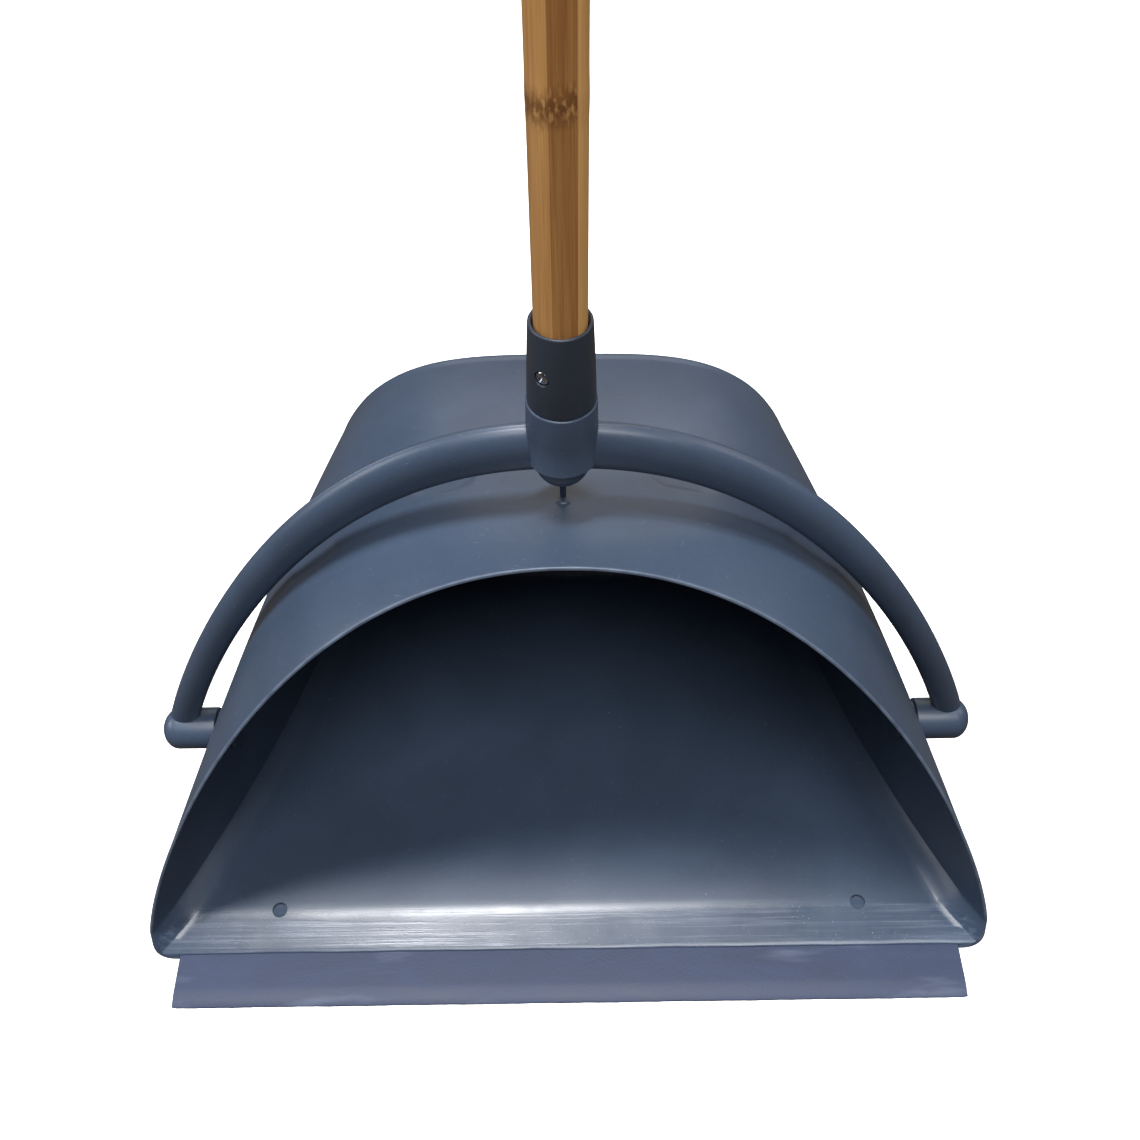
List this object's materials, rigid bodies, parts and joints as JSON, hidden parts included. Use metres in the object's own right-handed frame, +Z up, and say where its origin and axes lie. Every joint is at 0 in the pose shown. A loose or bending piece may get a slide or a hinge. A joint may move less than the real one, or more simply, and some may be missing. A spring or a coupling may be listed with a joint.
{
  "type": "long-handled dustpan",
  "caption": "Hooded dustpan with a soft front lip, an arched bail that tilts on side studs and a long bamboo handle with a hanging cap.",
  "frame": {"origin": "middle of the object's footprint, on the floor plane that the pan stands on", "axes": "+Z up along the upright handle, -Y out of the pan's mouth, +X along the bail's turning axis"},
  "size_m": [0.329, 0.2122, 0.867],
  "materials": {
    "slate_plastic": "slate blue-grey moulded plastic with a fine satin surface and light scratches",
    "soft_lip": "slightly paler soft strip, smooth and dusty",
    "bamboo": "laminated bamboo strips under clear lacquer",
    "screw_steel": "bright plated cross-head screw"
  },
  "bodies": {
    "pan": {"pan_shell": "slate_plastic", "soft_lip": "soft_lip"},
    "bail": {"bail": "slate_plastic", "handle_ferrule": "slate_plastic", "ferrule_screw": "screw_steel", "bamboo_handle": "bamboo", "end_cap": "slate_plastic"}
  },
  "joints": [
    {"name": "bail_pivot", "type": "hinge", "parent": "pan", "child": "bail", "pos_m": [0, -0.0109, 0.0517], "axis": [1, 0, 0], "range_deg": [-25, 0]}
  ]
}
